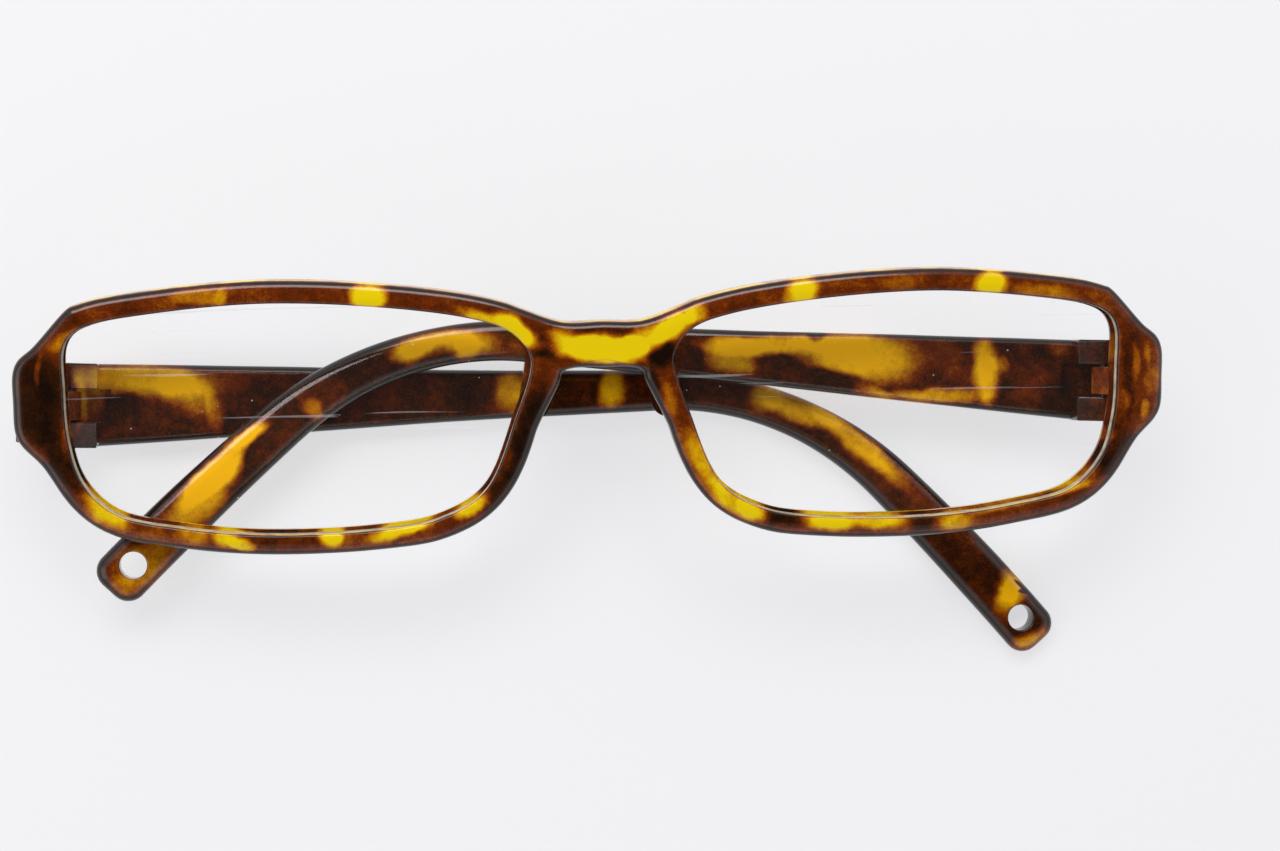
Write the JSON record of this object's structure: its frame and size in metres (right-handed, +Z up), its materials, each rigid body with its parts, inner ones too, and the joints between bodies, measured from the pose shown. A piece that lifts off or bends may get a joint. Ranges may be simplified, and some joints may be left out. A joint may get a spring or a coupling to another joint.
{
  "type": "reading glasses",
  "caption": "Folding reading glasses: tortoiseshell plastic front with clear lenses and hinged temples that end in a curved, holed tip.",
  "frame": {"origin": "on the flat outer face of the left temple, which lies on the table when the glasses are folded, under the middle of the bridge and level with the hinges", "axes": "+X to the right along the front, +Y towards the brow edge, +Z up from the table, out of the front's face; left and right as seen from above"},
  "size_m": [0.1355, 0.0475, 0.0177],
  "materials": {
    "front_frame": "polished tortoiseshell, dark brown with yellow and amber windows",
    "lens": "clear, uncoated, polished",
    "nose_pad": "polished dark tortoiseshell",
    "hinge_pin": "plain dark brown, drawn smooth",
    "temple": "polished tortoiseshell, yellow and amber with dark brown blotches"
  },
  "bodies": {
    "front": {"front_frame": "front_frame", "lens_left": "lens", "lens_right": "lens", "nose_pad_left": "nose_pad", "nose_pad_right": "nose_pad", "hinge_pin_left": "hinge_pin", "hinge_pin_right": "hinge_pin"},
    "left_temple": {"temple_left": "temple"},
    "right_temple": {"temple_right": "temple"}
  },
  "joints": [
    {"name": "left_temple_fold", "type": "hinge", "parent": "front", "child": "left_temple", "pos_m": [-0.06217, 0, 0.0054], "axis": [0.0447, 0.999, 0], "range_deg": [0, 88.3]},
    {"name": "right_temple_fold", "type": "hinge", "parent": "front", "child": "right_temple", "pos_m": [0.06217, 0, 0.009], "axis": [-0.0447, -0.999, 0], "range_deg": [0, 91.7]}
  ]
}
